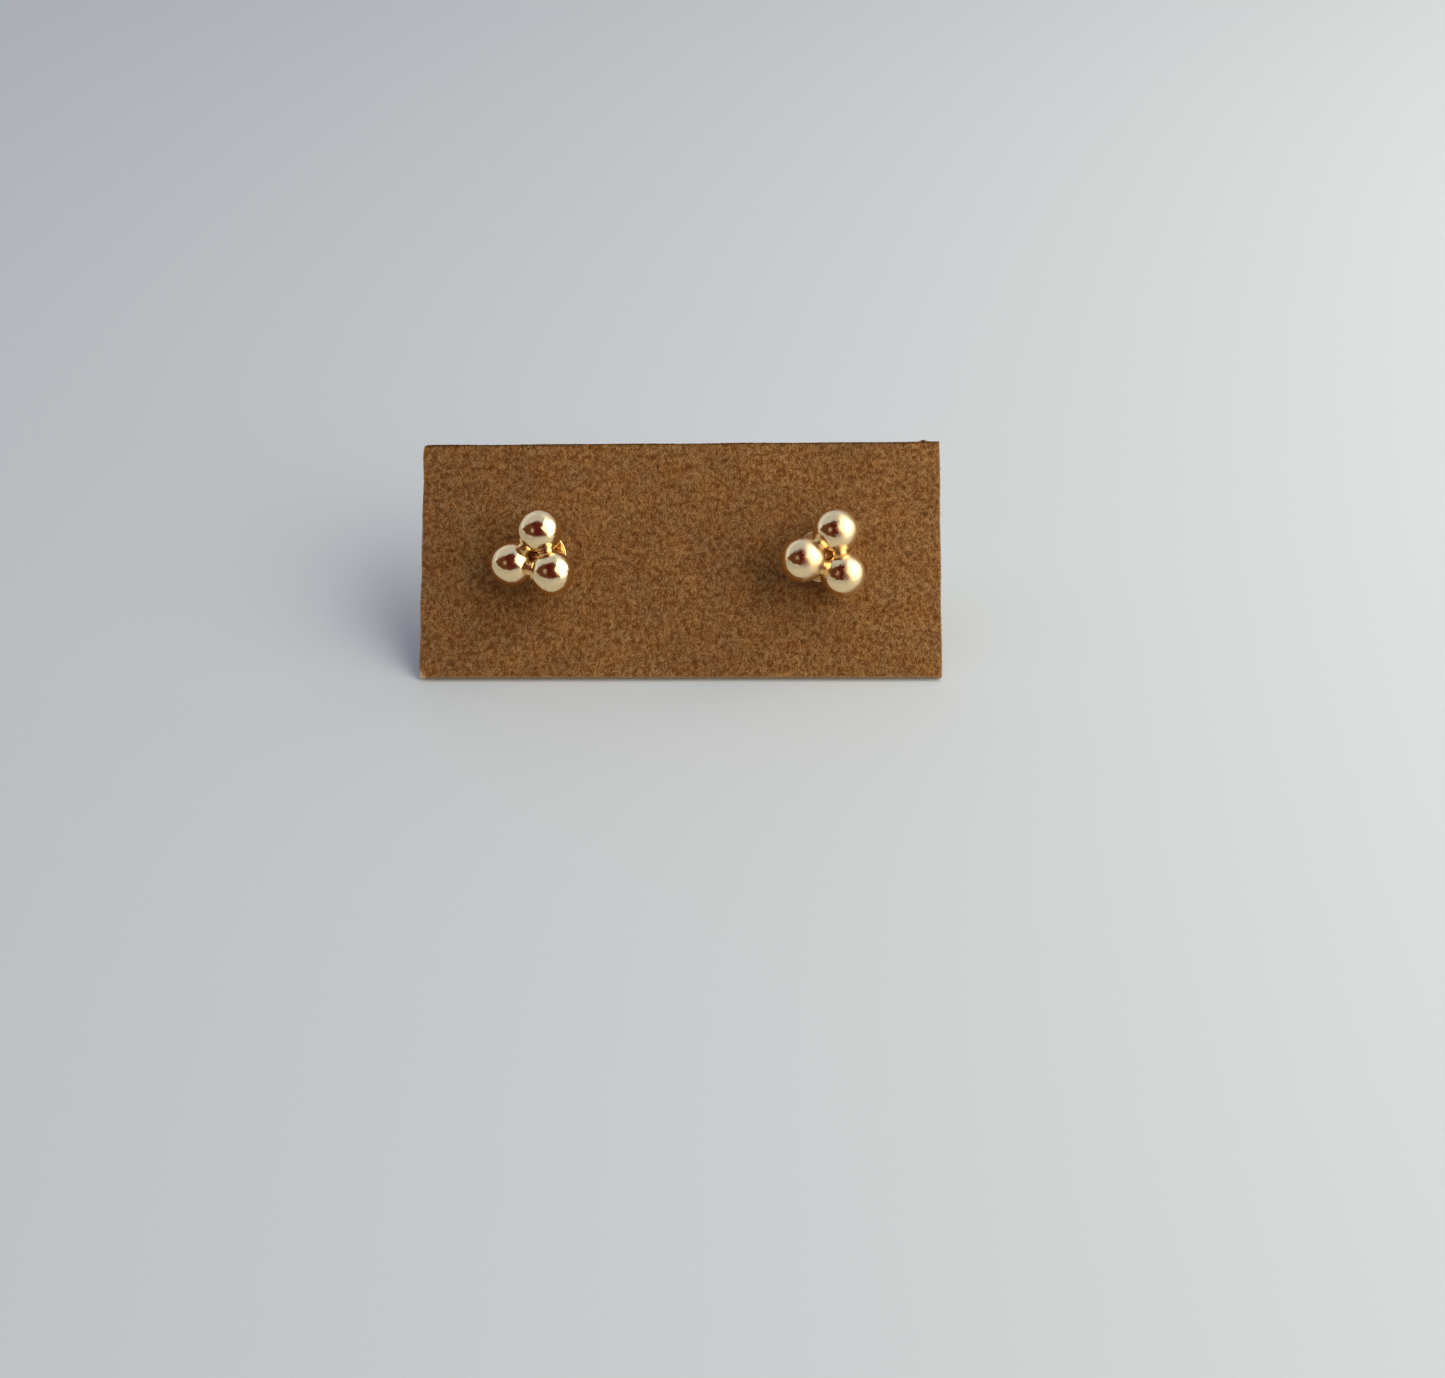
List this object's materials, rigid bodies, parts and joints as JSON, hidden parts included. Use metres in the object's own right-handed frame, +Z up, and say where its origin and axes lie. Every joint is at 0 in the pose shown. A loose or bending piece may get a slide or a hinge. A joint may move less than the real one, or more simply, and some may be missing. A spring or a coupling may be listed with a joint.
{
  "type": "pair of three-ball stud earrings on a display card",
  "caption": "Small gold stud earrings, each a triangle of three balls soldered together, pinned through a kraft card that leans back on the post tips.",
  "frame": {"origin": "middle of the footprint, on the surface that the card's lower edge and the post tips stand on", "axes": "+Z up, +X to the viewer's right along the card's long side, +Y away from the viewer"},
  "size_m": [0.047, 0.0168, 0.0143],
  "materials": {
    "kraft_card": "matt brown kraft fibre, uncoated",
    "gold": "polished pale gold plating"
  },
  "bodies": {
    "root": {"card": "kraft_card", "left_stud": "gold", "right_stud": "gold", "left_ear_nut": "gold", "right_ear_nut": "gold"}
  },
  "joints": []
}
